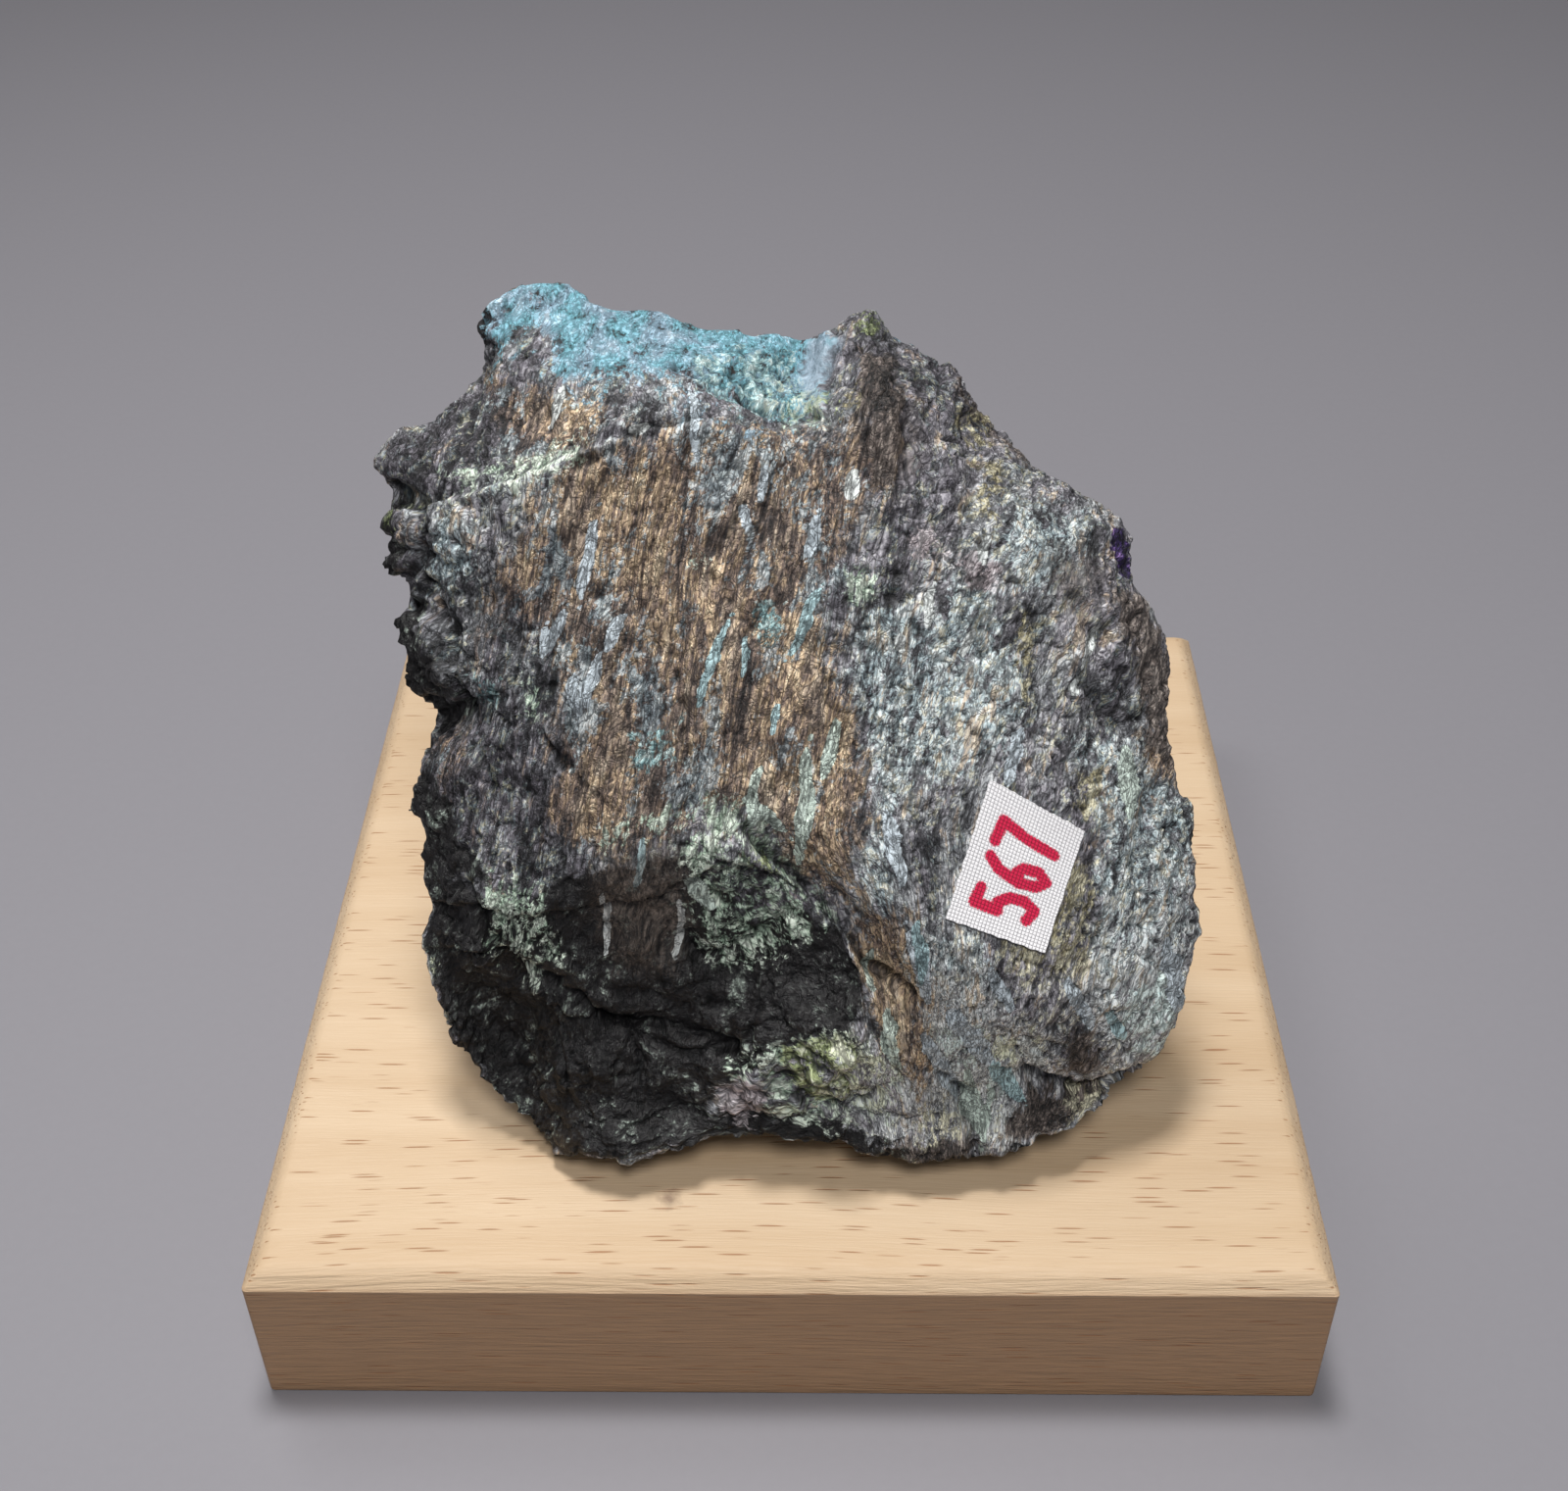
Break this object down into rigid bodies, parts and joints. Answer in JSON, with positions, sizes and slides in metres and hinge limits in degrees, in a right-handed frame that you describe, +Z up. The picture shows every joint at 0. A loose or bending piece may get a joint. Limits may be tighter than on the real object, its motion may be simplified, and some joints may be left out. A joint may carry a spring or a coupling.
{
  "type": "valleriite mineral specimen on display block",
  "caption": "Dark fibrous ore specimen, thick at its foot and thin at its crest, leaning back on a flat square wooden display block, with a small cloth label.",
  "frame": {"origin": "centre of the display block's underside, on the surface that the object stands on", "axes": "+Z up; +X to the right of a viewer who faces the stone's broad fibrous side; +Y away from that viewer. The block's sides lie along X and Y"},
  "size_m": [0.1, 0.1, 0.0888],
  "materials": {
    "rock": "fibrous, dull metallic bronze to grey with pale green and turquoise crusts",
    "block_wood": "sanded, unvarnished, fine brown pores along X",
    "label_cloth": "plain-woven white cotton tape with a red plain number"
  },
  "bodies": {
    "root": {"valleriite_specimen": "rock", "display_block": "block_wood", "cloth_label": "label_cloth"}
  },
  "joints": []
}
